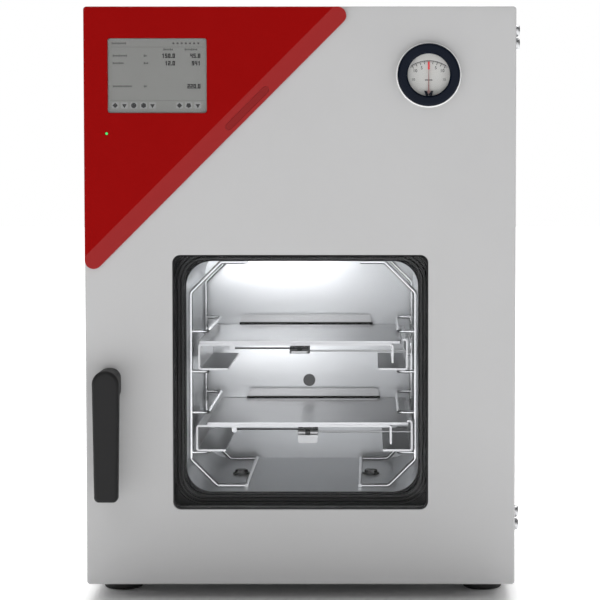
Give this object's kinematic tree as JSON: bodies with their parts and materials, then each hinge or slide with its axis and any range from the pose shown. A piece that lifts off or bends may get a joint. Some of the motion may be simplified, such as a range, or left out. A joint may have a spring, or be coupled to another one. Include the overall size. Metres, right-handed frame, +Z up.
{
  "type": "vacuum oven",
  "caption": "Bench vacuum drying oven: full-front door with sprung window, lever latch, gauge and touch controller, stainless chamber, wire racks and expanding shelves.",
  "frame": {"origin": "on the floor under the middle of the whole object", "axes": "+Z up, +X to the right seen from the front, +Y to the back; the door faces -Y"},
  "size_m": [0.5195, 0.57, 0.713],
  "materials": {
    "pale_coat": "fine textured powder coat",
    "grey_coat": "dark grey powder coat",
    "red_cover": "satin dark red moulding",
    "chamber_steel": "brushed stainless steel",
    "wire_steel": "electropolished wire",
    "shelf_alu": "satin aluminium",
    "frame_alu": "machined aluminium",
    "clamp_grey": "dark grey anodised block",
    "zinc_steel": "zinc-plated steel",
    "spring_steel": "drawn spring wire",
    "bronze": "sintered bronze",
    "seal_black": "moulded black rubber",
    "foot_rubber": "moulded black rubber",
    "mat_rubber": "silicone heating mat",
    "wool": "glass wool",
    "handle_black": "matte black moulding",
    "fitting_black": "black moulding",
    "gauge_blue_black": "near-black gauge housing",
    "dial_white": "printed dial",
    "needle_red": "painted needle",
    "screen": "display screen",
    "board_green": "circuit board",
    "led_green": "clear green lens",
    "window_glass": "tempered glass",
    "clear_sheet": "clear polycarbonate"
  },
  "bodies": {
    "cabinet": {"left_panel": "pale_coat", "right_panel": "pale_coat", "top_panel": "pale_coat", "base_plate": "zinc_steel", "rear_panel": "pale_coat", "front_frame": "grey_coat", "chamber_flange": "chamber_steel", "inner_chamber": "chamber_steel", "door_gasket": "seal_black", "heater_mats": "mat_rubber", "insulation_blanket": "wool", "port_screen": "zinc_steel", "vacuum_pipe": "chamber_steel", "gas_nipple": "zinc_steel", "solenoid_valves": "fitting_black", "mains_inlet": "fitting_black", "feet": "foot_rubber", "left_rack": "wire_steel", "right_rack": "wire_steel", "floor_bolts": "zinc_steel", "hinge_tongues": "zinc_steel", "latch_keeper": "zinc_steel"},
    "door": {"door_skin": "pale_coat", "door_liner": "pale_coat", "window_trim": "seal_black", "shatter_shield": "clear_sheet", "shield_retainer": "zinc_steel", "pane_guides": "zinc_steel", "pane_springs": "spring_steel", "control_fascia": "red_cover", "display_module": "screen", "touch_glass": "clear_sheet", "controller_board": "board_green", "status_led": "led_green", "usb_socket": "zinc_steel", "gauge_case": "gauge_blue_black", "gauge_dial": "dial_white", "gauge_lens": "window_glass", "spindle_bush": "bronze", "hinge_blocks": "frame_alu", "hinge_pins": "zinc_steel", "hinge_screws": "zinc_steel"},
    "pane": {"window_glass": "window_glass", "pane_frame": "frame_alu"},
    "needle": {"gauge_pointer": "needle_red"},
    "port_flap": {"port_cover": "red_cover"},
    "handle": {"handle_lever": "handle_black", "handle_spindle": "zinc_steel", "latch_tongue": "zinc_steel"},
    "rocker": {"power_switch": "fitting_black"},
    "upper_shelf": {"upper_shelf_plate": "shelf_alu", "upper_shelf_tray": "shelf_alu", "upper_shelf_clamp": "clamp_grey"},
    "upper_shelf_side": {"upper_shelf_rail": "shelf_alu"},
    "upper_shelf_toggle": {"upper_shelf_lever": "frame_alu"},
    "lower_shelf": {"lower_shelf_plate": "shelf_alu", "lower_shelf_tray": "shelf_alu", "lower_shelf_clamp": "clamp_grey"},
    "lower_shelf_side": {"lower_shelf_rail": "shelf_alu"},
    "lower_shelf_toggle": {"lower_shelf_lever": "frame_alu"}
  },
  "joints": [
    {"name": "door_hinge", "type": "hinge", "parent": "cabinet", "child": "door", "pos_m": [0.2455, -0.204, 0.388], "axis": [0, 0, 1], "range_deg": [0, 110]},
    {"name": "handle_turn", "type": "hinge", "parent": "door", "child": "handle", "pos_m": [-0.2285, -0.24, 0.266], "axis": [0, -1, 0], "range_deg": [0, 90]},
    {"name": "pane_press", "type": "slide", "parent": "door", "child": "pane", "axis": [0, 1, 0], "range_m": [-0.003, 0], "stiffness_N_per_m": 2000, "springref_m": 0.005, "deforming": ["pane_springs"]},
    {"name": "gauge_needle", "type": "hinge", "parent": "door", "child": "needle", "pos_m": [0.1532, -0.24, 0.6105], "axis": [0, -1, 0], "range_deg": [-40, 40], "stiffness_Nm_per_rad": 0.001},
    {"name": "port_flap_hinge", "type": "hinge", "parent": "door", "child": "port_flap", "pos_m": [-0.06, -0.24419, 0.58904], "axis": [0.7071, 0, 0.7071], "range_deg": [0, 90]},
    {"name": "rocker_press", "type": "hinge", "parent": "cabinet", "child": "rocker", "pos_m": [-0.19, 0.259, 0.118], "axis": [1, 0, 0], "range_deg": [0, 20]},
    {"name": "upper_shelf_slide", "type": "slide", "parent": "cabinet", "child": "upper_shelf", "axis": [0, 1, 0], "range_m": [-0.018, 0]},
    {"name": "upper_shelf_toggle_turn", "type": "hinge", "parent": "upper_shelf", "child": "upper_shelf_toggle", "pos_m": [-0.004, -0.152, 0.2934], "axis": [1, 0, 0], "range_deg": [0, 90]},
    {"name": "upper_shelf_side_push", "type": "slide", "parent": "upper_shelf", "child": "upper_shelf_side", "axis": [1, 0, 0], "range_m": [0, 0.006]},
    {"name": "lower_shelf_slide", "type": "slide", "parent": "cabinet", "child": "lower_shelf", "axis": [0, 1, 0], "range_m": [-0.018, 0]},
    {"name": "lower_shelf_toggle_turn", "type": "hinge", "parent": "lower_shelf", "child": "lower_shelf_toggle", "pos_m": [0.006, -0.152, 0.192], "axis": [1, 0, 0], "range_deg": [-90, 0]},
    {"name": "lower_shelf_side_push", "type": "slide", "parent": "lower_shelf", "child": "lower_shelf_side", "axis": [1, 0, 0], "range_m": [-0.0012, 0]}
  ],
  "couplings": [
    {"joint": "upper_shelf_toggle_turn", "follows": "upper_shelf_side_push", "rad_per_m": 261.79},
    {"joint": "lower_shelf_toggle_turn", "follows": "lower_shelf_side_push", "rad_per_m": 1308.9}
  ]
}
